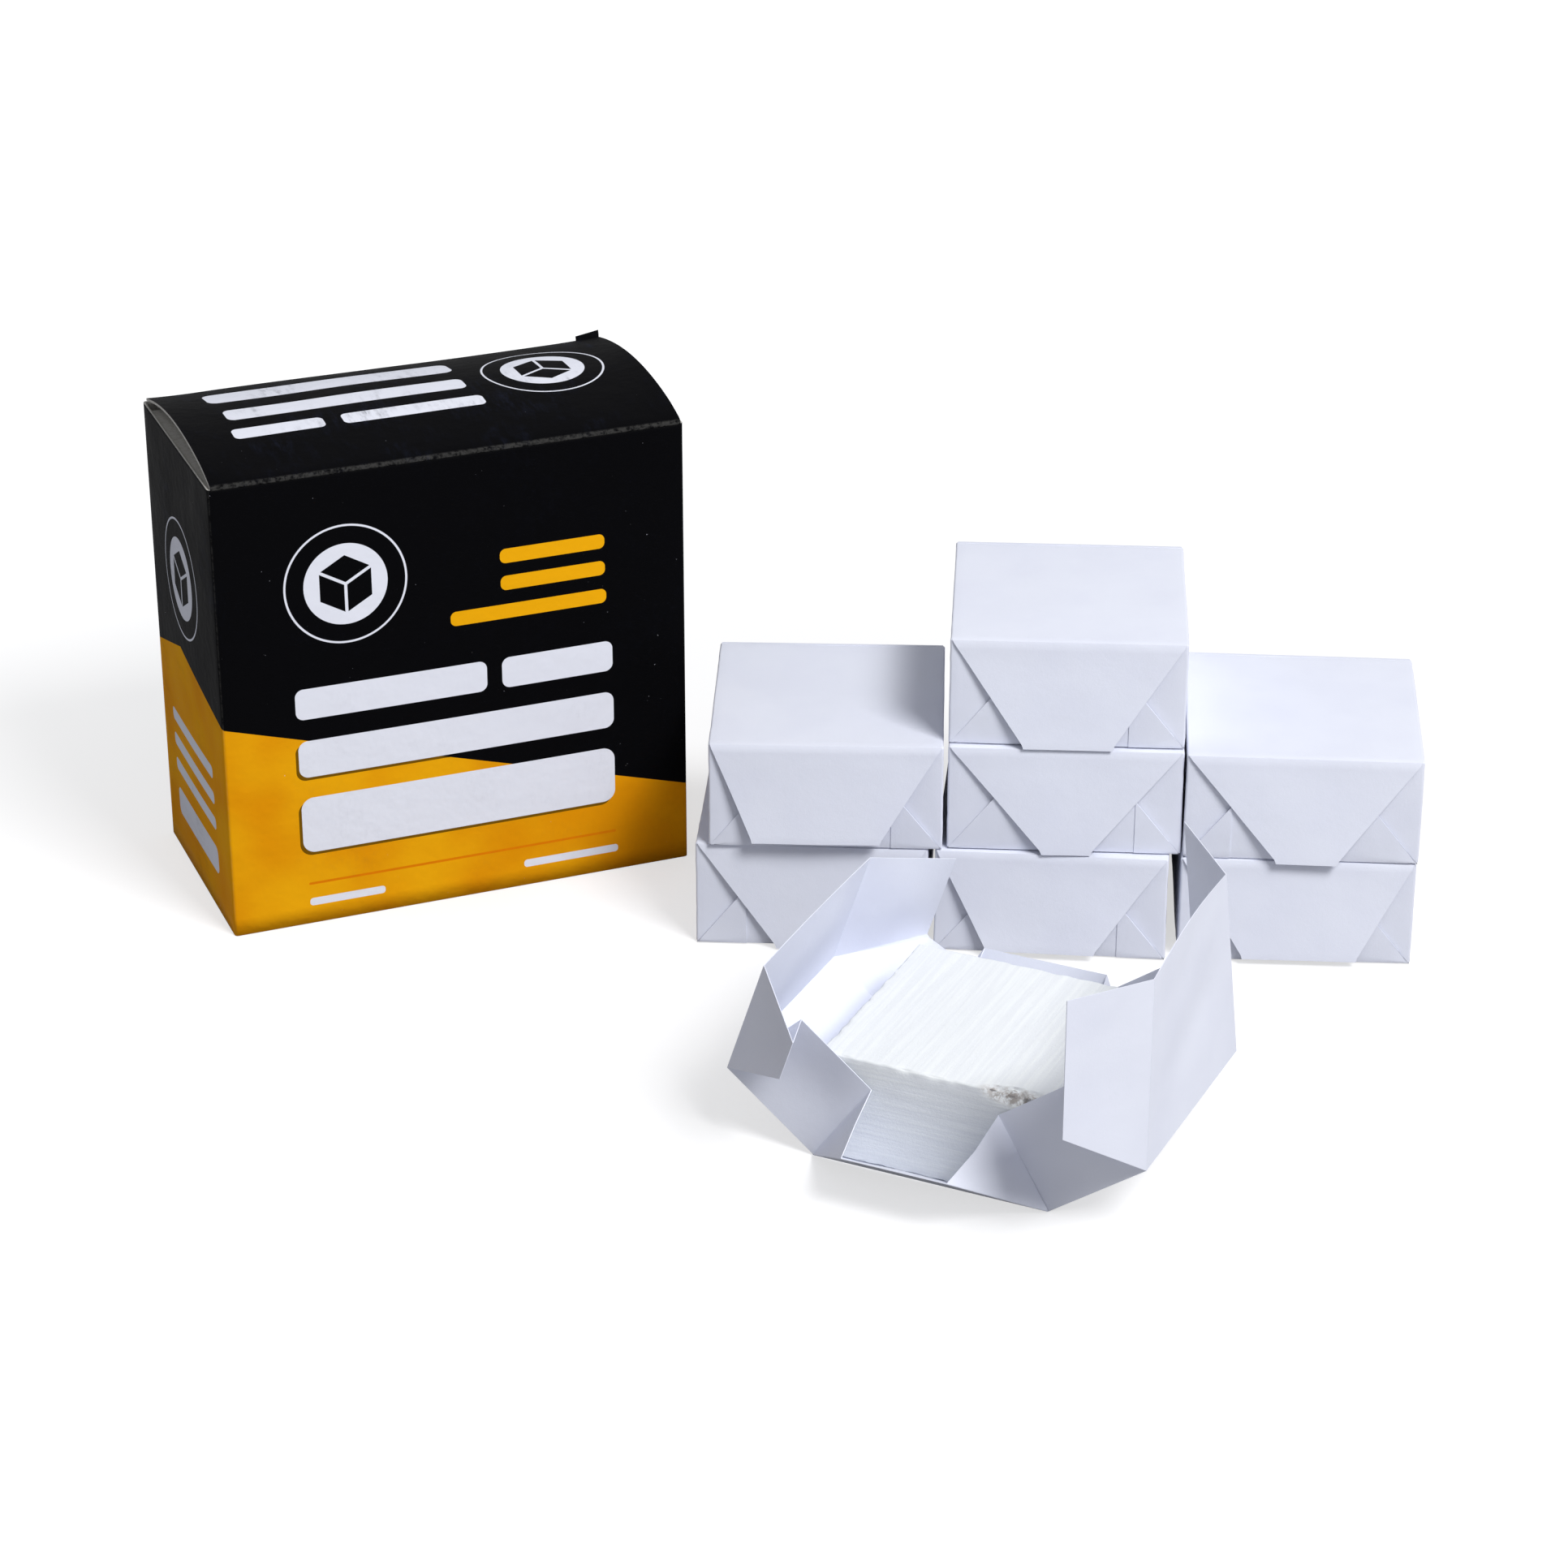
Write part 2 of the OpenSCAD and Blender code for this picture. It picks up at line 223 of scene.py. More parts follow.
class Net:
    """A material's node tree with short calls for its maths."""

    def __init__(self, name, colour, roughness, specular=0.5):
        self.material = bpy.data.materials.new(name)
        self.material.use_nodes = True
        self.tree = self.material.node_tree
        self.shader = self.tree.nodes["Principled BSDF"]
        self.shader.inputs["Base Color"].default_value = colour
        self.shader.inputs["Roughness"].default_value = roughness
        self.shader.inputs["Specular IOR Level"].default_value = specular
        self.object_coords = self.node("ShaderNodeTexCoord").outputs["Object"]

    def node(self, kind, **settings):
        made = self.tree.nodes.new(kind)
        for key, value in settings.items():
            setattr(made, key, value)
        return made

    def put(self, value, socket):
        if isinstance(value, (int, float, tuple, list, Vector)):
            socket.default_value = value
        else:
            self.tree.links.new(value, socket)

    def math(self, operation, *values):
        made = self.node("ShaderNodeMath", operation=operation)
        for value, socket in zip(values, made.inputs):
            self.put(value, socket)
        return made.outputs[0]

    def hypotenuse(self, a, b):
        squares = self.math("ADD", self.math("MULTIPLY", a, a), self.math("MULTIPLY", b, b))
        return self.math("SQRT", squares)

    def greatest(self, values):
        most = values[0]
        for value in values[1:]:
            most = self.math("MAXIMUM", most, value)
        return most

    def clamp(self, value):
        made = self.node("ShaderNodeClamp")
        self.put(value, made.inputs[0])
        return made.outputs[0]

    def mix(self, factor, a, b):
        made = self.node("ShaderNodeMix", data_type="RGBA")
        self.put(factor, made.inputs["Factor"])
        self.put(a, made.inputs["A"])
        self.put(b, made.inputs["B"])
        return made.outputs["Result"]

    def local(self, matrix):
        """Object coordinates in mm in the frame that matrix leads from, as a vector."""
        place, turn, _ = matrix.decompose()
        made = self.node("ShaderNodeMapping", vector_type="TEXTURE")
        self.put(self.object_coords, made.inputs["Vector"])
        made.inputs["Location"].default_value = place
        made.inputs["Rotation"].default_value = turn.to_euler()
        made.inputs["Scale"].default_value = (MM, MM, MM)
        return made.outputs[0]

    def split(self, vector):
        made = self.node("ShaderNodeSeparateXYZ")
        self.put(vector, made.inputs[0])
        return made.outputs

    def vector_math(self, operation, *values):
        made = self.node("ShaderNodeVectorMath", operation=operation)
        for value, socket in zip(values, made.inputs):
            self.put(value, socket)
        return made.outputs

    def stretch(self, vector, scale):
        return self.vector_math("MULTIPLY", vector, scale)[0]

    def noise(self, vector, scale, detail=3.0, roughness=0.55):
        made = self.node("ShaderNodeTexNoise")
        self.put(vector, made.inputs["Vector"])
        made.inputs["Scale"].default_value = scale
        made.inputs["Detail"].default_value = detail
        made.inputs["Roughness"].default_value = roughness
        return made.outputs["Fac"]

    def ramp(self, value, low, high):
        """0 below low, 1 above high."""
        made = self.node("ShaderNodeMapRange", interpolation_type="SMOOTHSTEP")
        self.put(value, made.inputs["Value"])
        made.inputs["From Min"].default_value = low
        made.inputs["From Max"].default_value = high
        return made.outputs["Result"]

    def bump(self, height, distance, after=None):
        made = self.node("ShaderNodeBump")
        made.inputs["Distance"].default_value = distance
        self.put(height, made.inputs["Height"])
        if after is not None:
            self.put(after, made.inputs["Normal"])
        self.put(made.outputs[0], self.shader.inputs["Normal"])
        return made.outputs[0]

    def colour(self, value):
        self.put(value, self.shader.inputs["Base Color"])


PAPER = rgb(231, 234, 246)
PAPER_DIM = rgb(228, 231, 244)
CHALK = rgb(243, 246, 247)
CHALK_DIM = rgb(236, 239, 242)
CHALK_HOLLOW_SHADE = rgb(176, 170, 166)
# Painted shade: a darker grey for the broken hollow in the opened block's front top edge
BLACK = rgb(9, 9, 11)
BLACK_SCUFFED = rgb(34, 38, 54)
GOLD = rgb(246, 176, 16)
GOLD_DEEP = rgb(232, 150, 10)
PRINT_WHITE = rgb(236, 238, 248)
PRINT_SHADOW = rgb(120, 84, 10)
ORANGE = rgb(230, 128, 8)
BOARD = rgb(205, 203, 198)
BOARD_FLECK = rgb(186, 182, 174)

# The badge's radius in mm, and how sharply a printed edge turns, per mm
BADGE_R = 16.3
EDGE_SHARPNESS = 12.0

# Where the opened block's front top edge is broken away, in the wrapper's frame, and how far, in mm; there
# the chalk is also painted a darker grey, as painted shade in the hollow
BITE_AT = np.array([21.0, -29.6, 28.6])
BITE_SIZE = np.array([9.5, 3.4, 3.6])


def paper_material():
    net = Net("wrapping_paper", PAPER, 0.62, 0.35)
    mm = net.stretch(net.object_coords, (1 / MM,) * 3)
    cloudy = net.noise(mm, 0.05, 2)
    fibres = net.noise(mm, 2.2, 4, 0.7)
    soft = net.noise(mm, 0.16, 3)
    net.colour(net.mix(net.ramp(cloudy, 0.35, 0.7), PAPER, PAPER_DIM))
    first = net.bump(soft, 0.0001)
    net.bump(fibres, 0.00003, first)
    return net.material


def chalk_material(matrix):
    net = Net("pressed_chalk", CHALK, 0.95, 0.15)
    local = net.local(matrix)
    layers = net.noise(net.stretch(local, (0.06, 0.06, 1.5)), 1.0, 5, 0.6)
    grain = net.noise(local, 1.4, 6, 0.7)
    brushed = net.noise(net.stretch(local, (0.9, 0.03, 0.4)), 1.0, 3)
    up = net.split(net.node("ShaderNodeNewGeometry").outputs["Normal"])[2]
    top = net.ramp(up, 0.75, 0.95)
    lines = net.mix(top, layers, brushed)
    tone = net.mix(net.ramp(lines, 0.35, 0.7), CHALK_DIM, CHALK)
    # Painted shade: the chalk is painted darker grey, crumb by crumb, in and near the broken hollow at its
    # front top edge
    from_bite = net.vector_math("SUBTRACT", local, tuple(BITE_AT))[0]
    in_spans = net.vector_math("DIVIDE", from_bite, tuple(BITE_SIZE))[0]
    away = net.vector_math("LENGTH", in_spans)["Value"]
    crumbs = net.noise(local, 0.9, 5, 0.7)
    inside = net.math("SUBTRACT", 1.0, net.ramp(away, 0.75, 1.15))
    bite_shade = net.math("MULTIPLY", inside, net.ramp(crumbs, 0.38, 0.56))
    net.colour(net.mix(bite_shade, tone, CHALK_HOLLOW_SHADE))
    first = net.bump(lines, 0.00008)
    net.bump(grain, 0.0001, first)
    return net.material


def board_inside_material():
    net = Net("raw_board", BOARD, 0.8, 0.3)
    mm = net.stretch(net.object_coords, (1 / MM,) * 3)
    flecks = net.noise(mm, 0.9, 5, 0.7)
    net.colour(net.mix(net.ramp(flecks, 0.4, 0.7), BOARD, BOARD_FLECK))
    net.bump(flecks, 0.00008)
    return net.material


def under_mask(net, value, limit):
    """1 where value is under limit, both in mm, with a soft edge between."""
    steep = net.math("MULTIPLY", net.math("SUBTRACT", limit, value), EDGE_SHARPNESS)
    return net.clamp(net.math("ADD", steep, 0.5))


def bar_mask(net, x, y, bar):
    """1 inside a bar with round ends: middle x and y, length, height and corner radius in mm."""
    cx, cy, length, height, radius = bar

    def beyond(value, centre, half):
        off = net.math("ABSOLUTE", net.math("SUBTRACT", value, centre))
        return net.math("MAXIMUM", net.math("SUBTRACT", off, half - radius), 0.0)

    return under_mask(net, net.hypotenuse(beyond(x, cx, length / 2), beyond(y, cy, height / 2)), radius)


def bars_mask(net, x, y, bars):
    return net.greatest([bar_mask(net, x, y, bar) for bar in bars])


def badge_mask(net, x, y, cx, cy, turn=1.0):
    """White parts of a plain round badge: a thin outer ring, a disc, and a block in outline on it."""
    px = net.math("SUBTRACT", x, cx)
    py = net.math("MULTIPLY", net.math("SUBTRACT", y, cy), turn)
    away = net.hypotenuse(px, py)
    ring = net.math("SUBTRACT", under_mask(net, away, BADGE_R), under_mask(net, away, BADGE_R - 0.55))
    disc = under_mask(net, away, BADGE_R * 0.68)

    def reach(angle):
        c, s = math.cos(math.radians(angle)), math.sin(math.radians(angle))
        return net.math("ADD", net.math("MULTIPLY", px, c), net.math("MULTIPLY", py, s))

    spans = [net.math("ABSOLUTE", reach(a)) for a in (0, 60, 120)]
    hexagon = under_mask(net, net.greatest(spans), BADGE_R * 0.42)
    spokes = []
    for angle in (30, 150, 270):
        side = net.math("ABSOLUTE", reach(angle + 90))
        ahead = net.math("GREATER_THAN", reach(angle), -0.3)
        spokes.append(net.math("MULTIPLY", under_mask(net, side, 0.4), ahead))
    block = net.math("MULTIPLY", hexagon, net.math("SUBTRACT", 1.0, net.greatest(spokes)))
    return net.math("MAXIMUM", ring, net.math("MULTIPLY", disc, net.math("SUBTRACT", 1.0, block)))


def printed(name, matrix, across, height, artwork, scuffs, worn_edges):
    """A coated, printed face of the carton. across and height are the local axes along it and up it."""
    net = Net(name, BLACK, 0.42, 0.012)
    local = net.local(matrix)
    axes = net.split(local)
    x, y = axes[across], axes[height]
    mottled = net.noise(local, 0.35, 3)
    colour = artwork(net, x, y, local)
    cloud = net.noise(local, 0.045, 4, 0.65)
    scratch = net.noise(net.stretch(local, (0.5, 0.12, 0.3)), 1.0, 5, 0.75)
    rub = net.math("MULTIPLY", net.ramp(cloud, 0.45, 0.75), net.ramp(scratch, 0.42, 0.8))
    colour = net.mix(net.math("MULTIPLY", rub, scuffs), colour, BLACK_SCUFFED)
    fleck = net.ramp(net.noise(local, 1.1, 2), 0.78, 0.8)
    colour = net.mix(net.math("MULTIPLY", fleck, 0.3), colour, PRINT_WHITE)
    chips = net.ramp(net.noise(local, 0.8, 5, 0.7), 0.35, 0.6)
    for axis, place, width in worn_edges:
        off = net.math("ABSOLUTE", net.math("SUBTRACT", axes[axis], place))
        near = net.math("SUBTRACT", 1.0, net.ramp(off, width * 0.2, width))
        colour = net.mix(net.math("MULTIPLY", near, net.math("MULTIPLY", chips, 0.06)), colour, BOARD)
    net.colour(colour)
    net.put(net.math("ADD", 0.5, net.math("MULTIPLY", cloud, 0.22)), net.shader.inputs["Roughness"])
    first = net.bump(cloud, 0.0006)
    net.bump(mottled, 0.00004, first)
    return net.material


def gold_below(net, x, y, left, right):
    """1 under the straight line from left = (x, y) to right = (x, y)."""
    slope = (right[1] - left[1]) / (right[0] - left[0])
    line = net.math("ADD", net.math("MULTIPLY", net.math("SUBTRACT", x, left[0]), slope), left[1])
    return under_mask(net, y, line)


def gold_tone(net, local):
    return net.mix(net.ramp(net.noise(local, 0.03, 2), 0.3, 0.7), GOLD, GOLD_DEEP)


# ---------------------------------------------------------------- carton

carton = box_frame("carton_bottom_outer_flap")[0]
panel_size = box_frame("carton_front_panel")[1]
side_size = box_frame("carton_left_panel")[1]
BOARD_T = panel_size[1]
CARTON_W = panel_size[0]
CARTON_D = side_size[1] + 2 * BOARD_T
CARTON_H = panel_size[2]
HALF_W, HALF_D = CARTON_W / 2, CARTON_D / 2
CORNER_R = 0.9
PANEL_BOW = 0.45
LID_BULGE = 4.5
LID_FRONT = -HALF_D
LID_REAR = HALF_D - 2 * BOARD_T - 0.3

# How near a place lies to a face to bow out with it, in mm
NEAR_FACE = 2

# Where gold meets black: heights up the front's left and right edges and at the side's peak
GOLD_LEFT = 0.474 * CARTON_H
GOLD_RIGHT = 0.175 * CARTON_H
GOLD_REAR = 0.465 * CARTON_H
GOLD_PEAK = 0.53 * CARTON_H
PEAK_Y = 0.1 * CARTON_D

# Bars in place of words: middle across, middle up, length, height, corner radius
FRONT_GOLD_BARS = [
    (26.6, 96.0, 28.5, 4.0, 1.6), (26.6, 88.5, 28.5, 4.0, 1.6), (19.8, 80.6, 42.5, 4.0, 1.6),
]
FRONT_WHITE_BARS = [
    (-17.9, 63.2, 51.5, 8.6, 2.2), (27.2, 63.2, 30.5, 8.6, 2.2), (-0.5, 47.6, 86.0, 10.4, 2.6),
    (-0.5, 28.6, 86.0, 15.8, 3.4),
]
FRONT_SMALL_BARS = [(-32.2, 6.2, 20.5, 2.2, 0.9), (29.8, 6.4, 26.5, 2.2, 0.9)]
FRONT_RULE = [(0.0, 11.6, 85.0, 0.7, 0.3)]
SIDE_BARS = [
    (0.6, 41.5, 41.0, 3.6, 1.3), (0.6, 34.0, 41.0, 3.6, 1.3), (0.6, 26.5, 41.0, 3.6, 1.3),
    (0.6, 15.5, 41.0, 8.0, 2.2),
]
LID_BARS = [
    (-17.2, 17.6, 66.0, 10.0, 2.6), (-17.0, 1.6, 64.0, 7.4, 2.0), (-38.2, -10.6, 24.0, 5.6, 1.6),
    (-2.4, -10.6, 38.0, 5.6, 1.6),
]


def front_art(net, x, y, local):
    gold = gold_below(net, x, y, (-HALF_W, GOLD_LEFT), (HALF_W, GOLD_RIGHT))
    colour = net.mix(gold, BLACK, gold_tone(net, local))
    shadow_x = net.math("SUBTRACT", x, -0.8)
    shadow_y = net.math("SUBTRACT", y, -0.8)
    shadow = bars_mask(net, shadow_x, shadow_y, FRONT_WHITE_BARS[2:])
    colour = net.mix(shadow, colour, net.mix(gold, BLACK, PRINT_SHADOW))
    colour = net.mix(bars_mask(net, x, y, FRONT_RULE), colour, ORANGE)
    colour = net.mix(bars_mask(net, x, y, FRONT_GOLD_BARS), colour, GOLD)
    white = bars_mask(net, x, y, FRONT_WHITE_BARS + FRONT_SMALL_BARS)
    white = net.math("MAXIMUM", white, badge_mask(net, x, y, -28.8, 95.0))
    return net.mix(white, colour, PRINT_WHITE)


def rear_art(net, x, y, local):
    gold = gold_below(net, x, y, (-HALF_W, GOLD_REAR), (HALF_W, GOLD_RIGHT))
    colour = net.mix(gold, BLACK, gold_tone(net, local))
    white = bars_mask(net, x, y, FRONT_WHITE_BARS[2:])
    white = net.math("MAXIMUM", white, badge_mask(net, x, y, 0.0, 95.0))
    return net.mix(white, colour, PRINT_WHITE)


def left_art(net, y, z, local):
    front = gold_below(net, y, z, (-HALF_D, GOLD_LEFT), (PEAK_Y, GOLD_PEAK))
    rear = gold_below(net, y, z, (PEAK_Y, GOLD_PEAK), (HALF_D, GOLD_REAR))
    gold = net.math("MULTIPLY", front, rear)
    colour = net.mix(gold, BLACK, gold_tone(net, local))
    white = bars_mask(net, y, z, SIDE_BARS)
    white = net.math("MAXIMUM", white, badge_mask(net, y, z, 1.0, 88.0))
    return net.mix(white, colour, PRINT_WHITE)


def right_art(net, y, z, local):
    gold = gold_below(net, y, z, (-HALF_D, GOLD_RIGHT), (HALF_D, GOLD_RIGHT))
    colour = net.mix(gold, BLACK, gold_tone(net, local))
    return net.mix(badge_mask(net, y, z, 0.0, 88.0), colour, PRINT_WHITE)


def lid_art(net, x, y, local):
    white = bars_mask(net, x, y, LID_BARS)
    white = net.math("MAXIMUM", white, badge_mask(net, x, y, 37.5, 4.5, turn=-1.0))
    return net.mix(white, BLACK, PRINT_WHITE)


def bottom_art(net, x, y, local):
    return gold_tone(net, local)


X, Y, Z = 0, 1, 2
CREASES = {
    "front": [(X, -HALF_W, 0.6), (X, HALF_W, 0.6), (Z, CARTON_H, 0.5), (Z, 0.0, 0.5)],
    "side": [(Y, -HALF_D, 0.6), (Y, HALF_D, 0.6), (Z, CARTON_H, 0.5), (Z, 0.0, 0.5)],
    "lid": [(Y, -HALF_D, 0.8), (Y, HALF_D - BOARD_T, 0.6), (X, -HALF_W, 0.8), (X, HALF_W, 0.8)],
}
front_print = printed("carton_front_print", carton, X, Z, front_art, 0.12, CREASES["front"])
rear_print = printed("carton_rear_print", carton, X, Z, rear_art, 0.3, CREASES["front"])
left_print = printed("carton_left_print", carton, Y, Z, left_art, 0.35, CREASES["side"])
right_print = printed("carton_right_print", carton, Y, Z, right_art, 0.35, CREASES["side"])
lid_print = printed("carton_lid_print", carton, X, Y, lid_art, 0.75, CREASES["lid"])
bottom_print = printed("carton_bottom_print", carton, X, Y, bottom_art, 0.3, [])
raw_board = board_inside_material()


def sleeve_outline(inset, arc=5):
    """A rounded rectangle inset mm inside the carton's outside, with the face each stretch belongs to."""
    r = max(CORNER_R - inset, 0.25)
    x, y = HALF_W - inset - r, HALF_D - inset - r
    corners = [(x, -y, -90), (x, y, 0), (-x, y, 90), (-x, -y, 180)]
    points = []
    for cx, cy, start in corners:
        for step in range(arc):
            a = math.radians(start + 90 * step / (arc - 1))
            points.append((cx + r * math.cos(a), cy + r * math.sin(a)))
    return points


def bow(x, y, z):
    """How far the board bows out at a place on the sleeve, in mm."""
    up = math.sin(math.pi * min(max(z / CARTON_H, 0), 1))
    across = math.cos(math.pi / 2 * min(abs(x) / HALF_W, 1)) if abs(y) > HALF_D - NEAR_FACE else 0.0
    deep = math.cos(math.pi / 2 * min(abs(y) / HALF_D, 1)) if abs(x) > HALF_W - NEAR_FACE else 0.0
    return PANEL_BOW * up * (across + deep)


def make_sleeve():
    """The four printed walls as one closed skin with raw board inside."""
    build = Build()
    heights = np.concatenate([np.linspace(0, CARTON_H - 1, 26), [CARTON_H]])
    outer, inner = sleeve_outline(0), sleeve_outline(BOARD_T)
    count = len(outer)

    def refined(points):
        """Adds points along the long sides, so that the board can bow."""
        out = []
        for i, p in enumerate(points):
            q = points[(i + 1) % count]
            parts = 24 if math.dist(p, q) > 10 else 1
            for k in range(parts):
                out.append((p[0] + (q[0] - p[0]) * k / parts, p[1] + (q[1] - p[1]) * k / parts))
        return out

    def wall(points, flip):
        rows = []
        for z in heights:
            row = []
            for x, y in points + points[:1]:
                out = bow(x, y, z)
                row.append((
                    x + math.copysign(out, x) * (abs(x) > HALF_W - NEAR_FACE),
                    y + math.copysign(out, y) * (abs(y) > HALF_D - NEAR_FACE), z,
                ))
            rows.append(row)
        g = np.array(rows)
        return g[:, ::-1] if flip else g

    outside, inside = wall(refined(outer), False), wall(refined(inner), True)
    cols = outside.shape[1]
    faces = grid_faces(len(heights), cols)
    build.points += [tuple(p) for p in outside.reshape(-1, 3)]
    for f in faces:
        mid = np.mean([build.points[i] for i in f], axis=0)
        from_faces = [HALF_D + mid[1], HALF_W - mid[0], HALF_D - mid[1], HALF_W + mid[0]]
        build.faces.append(tuple(reversed(f)))
        build.slots.append(int(np.argmin(from_faces)))
    build.add(inside.reshape(-1, 3), [tuple(reversed(f)) for f in faces], 4)
    flat_in = inside[:, ::-1]
    top = np.stack([outside[-1], flat_in[-1]])
    low = np.stack([flat_in[0], outside[0]])
    for rim in (top, low):
        build.add(rim.reshape(-1, 3), [tuple(reversed(f)) for f in grid_faces(2, cols)], 4)
    prints = [front_print, right_print, rear_print, left_print, raw_board]
    sleeve = build.make("carton_sleeve", carton, prints, "carton_and_floor", sharp=50)
    weld(sleeve)
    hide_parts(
        "carton_front_panel", "carton_rear_panel", "carton_left_panel", "carton_right_panel"
    )


def lid_height(y):
    """Height of the lid's underside over the walls' top, in mm."""
    t = (y - LID_FRONT) / (LID_REAR - LID_FRONT)
    return 0.35 + LID_BULGE * 4 * t * (1 - t)


def make_lid():
    """The bowed lid, with raw board on its edges and inside, and the small curled ear at its rear right."""
    build = Build()
    half = HALF_W - BOARD_T - 0.1
    xs = np.linspace(-half, half, 44)
    turn = [(LID_FRONT + 0.05, -0.15), (LID_FRONT + 0.12, 0.2), (LID_FRONT + 0.4, 0.5)]
    profile = turn + [(y, lid_height(y) + 0.3) for y in np.linspace(LID_FRONT + 1.2, LID_REAR, 34)]
    g = np.array([[(x, y, CARTON_H + z) for x in xs] for y, z in profile])
    lift = wobble(g, 0.35, 0.03, 5.0)[..., 0]
    depth = np.clip((g[..., 1] - LID_FRONT) / 8, 0, 1)
    sag = np.clip((np.abs(g[..., 0]) - half + 14) / 14, 0, 1) ** 2
    g[..., 2] += lift * depth + 0.5 * sag * depth
    build.sheet(g, BOARD_T, 0)
    ear_u = np.linspace(0, 1, 6)[:, None]
    ear_v = np.linspace(0, 1, 6)[None, :]
    ear = np.zeros((6, 6, 3))
    ear[..., 0] = half - 6.5 + 6.5 * ear_u + 0.4 * ear_v
    ear[..., 1] = LID_REAR - 0.4 + 1.2 * ear_v ** 2
    ear[..., 2] = CARTON_H + lid_height(LID_REAR) + 0.3 + (1.3 + 1.1 * ear_u) * ear_v
    build.sheet(ear, BOARD_T * 0.8, 0)
    lid = build.make("carton_lid_board", carton, [lid_print, raw_board], "lid", sharp=45)
    for face in lid.data.polygons:
        n = (carton.to_3x3().inverted() @ face.normal).normalized()
        if abs(n.x) > 0.9 or n.z < -0.5 or n.y > 0.8:
            face.material_index = 1
    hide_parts("carton_lid")


make_sleeve()
make_lid()


def repaint(node, material):
    obj = frame["nodes"][node]
    obj.data.materials.clear()
    obj.data.materials.append(material)


for node in (
    "carton_glue_tab", "carton_bottom_inner_flap", "carton_bottom_left_dust_flap",
    "carton_bottom_right_dust_flap", "carton_tuck_flap", "carton_left_dust_flap", "carton_right_dust_flap",
):
    repaint(node, raw_board)
repaint("carton_bottom_outer_flap", bottom_print)


# ---------------------------------------------------------------- wrapped blocks

paper = paper_material()
opened, floor_size = box_frame("open_floor")
chalk_paint = chalk_material(opened)

# What a wrapper adds to its chalk across, along and up, what lies under the chalk, the sheet's
# thickness and the rounding of its edges, in mm, and how steeply the under-fold's sides rise
WRAP_EXTRA = np.array([2.0, 3.0, 1.0])
WRAP_FLOOR = 0.4
PAPER_T = 0.22
EDGE_R = 0.6
FOLD_SLOPE = math.tan(math.radians(52))

# For each block: the outer flap's left and right insets as shares of the width and its reach as a share
# of the height, how far it stands off in mm, where the seam shows as a share of the width, and a seed
BLOCKS = {
    "top": (0.31, 0.30, 0.97, 2.6, 0.76, 1),
    "middle_left": (0.18, 0.26, 0.89, 3.2, 0.78, 2),
    "middle_centre": (0.40, 0.38, 0.97, 2.4, 0.80, 3),
    "middle_right": (0.39, 0.34, 0.97, 2.6, 0.20, 4),
    "bottom_left": (0.345, 0.30, 0.97, 2.4, 0.22, 5),
    "bottom_centre": (0.22, 0.30, 0.91, 3.2, 0.79, 6),
    "bottom_right": (0.27, 0.23, 0.92, 2.6, 0.30, 7),
}


def end_folds(build, size, left, right, reach, stand, seam, seed):
    """The folds on a wrapped block's front end: the bottom flap, its seam and the outer flap over it."""
    w, d, h = size
    face = -d / 2

    def bottom_flap(x0, x1, out):
        """The part of the bottom flap between x0 and x1, lying out mm off the end."""
        tall = 0.86 * h
        g = np.zeros((22, 14, 3))
        us = np.linspace(x0, x1, 22)
        for i, x in enumerate(us):
            corner = min(x + w / 2, w / 2 - x)
            height = min(tall, max(corner - 0.2, 0.05) * FOLD_SLOPE)
            for j, v in enumerate(np.linspace(0, 1, 14)):
                z = 0.35 + (height - 0.35) * v
                swell = 0.5 * math.sin(math.pi * min(z / tall, 1))
                swell *= math.sin(math.pi * min(corner / 18, 1) / 2)
                foot = 0.35 * max(0, 1 - z / 0.9)
                g[i, j] = (x, face - out - swell + foot, z)
        g[..., 1:2] += wobble(g, 0.12, 0.09, seed)
        build.sheet(g, PAPER_T)

    edge = w / 2 - 0.3
    bottom_flap(-edge, edge, 0.22)
    seam_x = (seam - 0.5) * w
    if seam > 0.5:
        bottom_flap(seam_x, edge, 0.45)
    else:
        bottom_flap(-edge, seam_x, 0.45)

    # The outer flap leads off the top by lead mm, turns down through a quarter circle and then hangs
    rows, cols = 26, 30
    g = np.zeros((rows, cols, 3))
    length = reach * h
    lead, bend = 0.6, 0.8
    quarter = bend * math.pi / 2
    front = face - 0.42
    for i, t in enumerate(np.linspace(0, 1, rows)):
        s = t * (1.6 + length)
        if s < lead:
            y, z, down = front + bend + lead - s, h - 0.10 + 0.12 * s, 0.0
        elif s < lead + quarter:
            a = (s - lead) / bend
            y = front + bend - bend * math.sin(a)
            z = h - bend + bend * math.cos(a) - 0.02
            down = a / (math.pi / 2) * 0.04
        else:
            fall = s - lead - quarter
            down = min(fall / (length - bend), 1)
            y = front
            z = h - bend - 0.02 - fall
        for j, u in enumerate(np.linspace(-1, 1, cols)):
            drop = min(max((h - z) / length, 0), 1)
            half_left = w / 2 - 0.4 - left * w * drop
            half_right = w / 2 - 0.4 - right * w * drop
            x = u * (half_left if u < 0 else half_right)
            lift = stand * down ** 1.7 + 0.35 * math.sin(math.pi * down) * (1 - 0.4 * u * u)
            g[i, j] = (x, y - lift, z)
    ease = np.clip((h - g[..., 2]) / 6, 0, 1)
    g[..., 1] += wobble(g, 0.22, 0.06, seed + 20)[..., 0] * ease
    build.sheet(g, PAPER_T)


